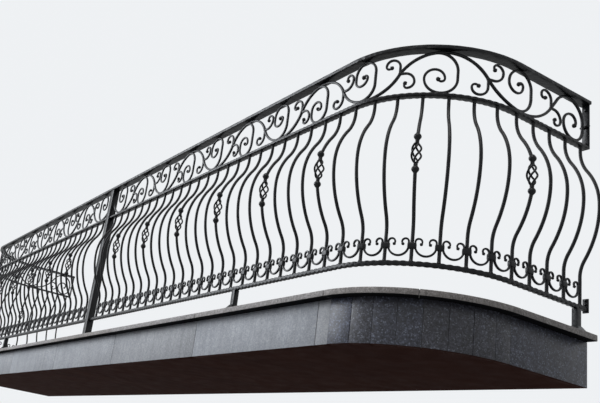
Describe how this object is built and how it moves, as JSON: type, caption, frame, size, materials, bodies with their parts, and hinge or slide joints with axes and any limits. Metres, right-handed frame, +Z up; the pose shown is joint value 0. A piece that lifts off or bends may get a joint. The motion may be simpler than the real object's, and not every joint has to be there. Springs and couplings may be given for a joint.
{
  "type": "balcony with wrought iron railing",
  "caption": "Cantilevered balcony with rounded corners: granite clad slab, pot-bellied wrought iron balusters with baskets, and a scrollwork frieze under the handrail.",
  "frame": {"origin": "middle of the slab's back face, on the wall's plane", "axes": "+X along the wall to the right as seen from outside, +Y into the wall, +Z up"},
  "size_m": [6.083, 1.004, 1.231],
  "materials": {
    "concrete": "cast concrete",
    "soffit_paint": "dark red-brown masonry paint, satin",
    "fascia_granite": "polished speckled grey granite",
    "paving_granite": "flamed pale grey granite",
    "black_iron": "black satin paint over hammered iron"
  },
  "bodies": {
    "root": {"slab_core": "concrete", "soffit_lining": "soffit_paint", "floor_tiles": "paving_granite", "coping_front": "paving_granite", "coping_right": "paving_granite", "coping_left": "paving_granite", "fascia_front": "fascia_granite", "fascia_right": "fascia_granite", "fascia_left": "fascia_granite", "handrail_front": "black_iron", "handrail_right_end": "black_iron", "handrail_left_end": "black_iron", "mid_rail_front_right": "black_iron", "mid_rail_front_left": "black_iron", "mid_rail_right_end": "black_iron", "mid_rail_left_end": "black_iron", "bottom_rail_front_right": "black_iron", "bottom_rail_front_left": "black_iron", "bottom_rail_right_end": "black_iron", "bottom_rail_left_end": "black_iron", "balusters_front_right": "black_iron", "balusters_front_left": "black_iron", "balusters_right_end": "black_iron", "balusters_left_end": "black_iron", "basket_balusters_right": "black_iron", "basket_balusters_left": "black_iron", "frieze_front_right": "black_iron", "frieze_front_left": "black_iron", "frieze_right_end": "black_iron", "frieze_left_end": "black_iron", "c_scrolls_front_right": "black_iron", "c_scrolls_front_left": "black_iron", "c_scrolls_right_end": "black_iron", "c_scrolls_left_end": "black_iron", "centre_post": "black_iron", "front_feet": "black_iron", "end_feet": "black_iron", "wall_straps": "black_iron", "wall_flanges": "black_iron"}
  },
  "joints": []
}
